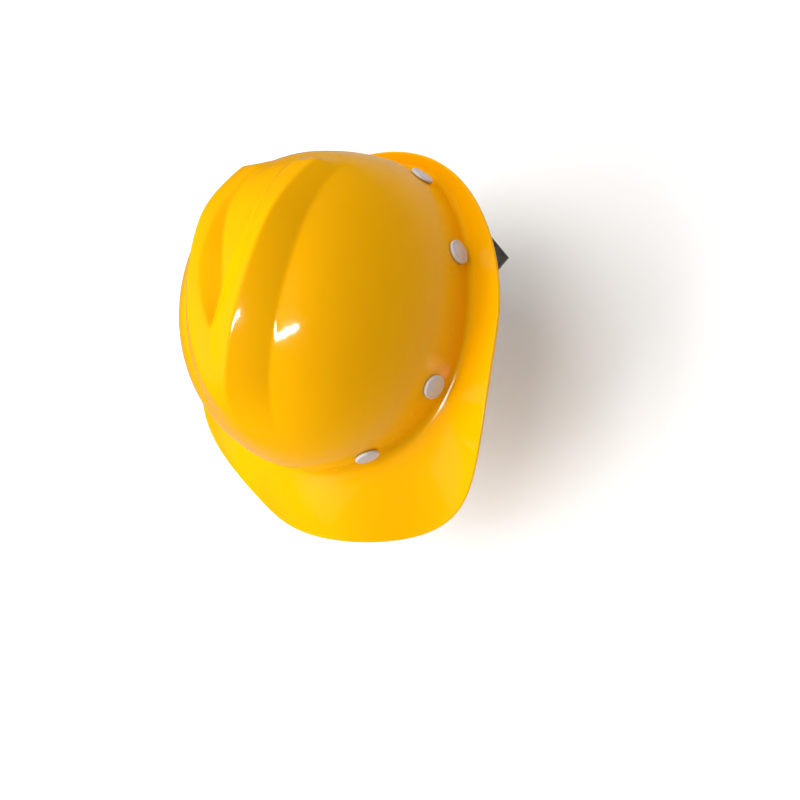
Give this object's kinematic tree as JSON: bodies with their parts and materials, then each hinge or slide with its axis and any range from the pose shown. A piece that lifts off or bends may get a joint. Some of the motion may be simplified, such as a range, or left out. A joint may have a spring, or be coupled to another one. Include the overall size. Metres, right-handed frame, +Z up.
{
  "type": "hard hat",
  "caption": "Peaked safety helmet with a raised V-shaped crown, gutter brim, riveted webbing cradle, ratchet headband and buckled chin strap.",
  "frame": {"origin": "the middle of the wearer's head at the level of the brim, on the hat's centre plane", "axes": "+X to the wearer's left, +Y to the back of the head, +Z up out of the crown"},
  "size_m": [0.2348, 0.2683, 0.2445],
  "materials": {
    "shell_yellow": "semi-gloss moulded ABS",
    "rivet_grey": "satin",
    "clip_white": "satin",
    "web_grey": "woven",
    "band_white": "satin",
    "pad_grey": "soft knit",
    "web_black": "woven",
    "fitting_black": "satin"
  },
  "bodies": {
    "hat": {"shell": "shell_yellow", "rivet_front_left": "rivet_grey", "anchor_front_left": "clip_white", "rivet_front_right": "rivet_grey", "anchor_front_right": "clip_white", "rivet_temple_left": "rivet_grey", "anchor_temple_left": "clip_white", "rivet_temple_right": "rivet_grey", "anchor_temple_right": "clip_white", "rivet_side_left": "rivet_grey", "anchor_side_left": "clip_white", "rivet_side_right": "rivet_grey", "anchor_side_right": "clip_white", "rivet_nape_left": "rivet_grey", "anchor_nape_left": "clip_white", "rivet_nape_right": "rivet_grey", "anchor_nape_right": "clip_white", "cradle_front_left": "web_grey", "hanger_front_left": "clip_white", "cradle_front_right": "web_grey", "hanger_front_right": "clip_white", "cradle_temple_left": "web_grey", "hanger_temple_left": "clip_white", "cradle_temple_right": "web_grey", "hanger_temple_right": "clip_white", "crown_pad": "pad_grey", "headband": "band_white", "sweatband": "pad_grey", "lap_keeper_left": "clip_white", "nape_hanger_left": "clip_white", "strap_tab_left": "clip_white", "strap_corner_left": "web_black", "strap_rear_left": "web_black", "strap_front_left": "web_black", "lap_keeper_right": "clip_white", "nape_hanger_right": "clip_white", "strap_tab_right": "clip_white", "strap_corner_right": "web_black", "strap_rear_right": "web_black", "strap_front_right": "web_black", "ratchet_base": "band_white", "ratchet_cover": "band_white", "buckle_socket": "fitting_black", "buckle_plug": "fitting_black", "strap_upper_left": "web_black", "strap_chin": "web_black", "chin_pad": "pad_grey"},
    "knob": {"ratchet_knob": "fitting_black", "ratchet_pinion": "fitting_black"},
    "nape_strap_left": {"nape_strap_left": "band_white"},
    "nape_strap_right": {"nape_strap_right": "band_white"},
    "prong_rear": {"buckle_prong_rear": "fitting_black"},
    "prong_front": {"buckle_prong_front": "fitting_black"},
    "slider": {"strap_slider": "fitting_black"}
  },
  "joints": [
    {"name": "ratchet_turn", "type": "hinge", "parent": "hat", "child": "knob", "pos_m": [0, 0.015, -0.004], "axis": [0, 0.9703, -0.2419], "range_deg": [-160, 160]},
    {"name": "nape_slide_left", "type": "hinge", "parent": "hat", "child": "nape_strap_left", "pos_m": [0, 0.015, -0.004], "axis": [0, 0.2419, 0.9703], "range_deg": [-11, 11]},
    {"name": "nape_slide_right", "type": "hinge", "parent": "hat", "child": "nape_strap_right", "pos_m": [0, 0.015, -0.004], "axis": [0, 0.2419, 0.9703], "range_deg": [-11, 11]},
    {"name": "prong_rear_flex", "type": "hinge", "parent": "hat", "child": "prong_rear", "pos_m": [0.05049, 0.0646, -0.07604], "axis": [0.726, 0, -0.6877], "range_deg": [0, 9], "stiffness_Nm_per_rad": 0.05},
    {"name": "prong_front_flex", "type": "hinge", "parent": "hat", "child": "prong_front", "pos_m": [0.05049, 0.0494, -0.07604], "axis": [-0.726, 0, 0.6877], "range_deg": [0, 9], "stiffness_Nm_per_rad": 0.05},
    {"name": "slider_shift", "type": "slide", "parent": "hat", "child": "slider", "axis": [0.6877, 0, -0.726], "range_m": [-0.018, 0.02]}
  ],
  "couplings": [
    {"joint": "nape_slide_left", "follows": "ratchet_turn", "ratio": -0.0627},
    {"joint": "nape_slide_right", "follows": "ratchet_turn", "ratio": 0.0612}
  ]
}
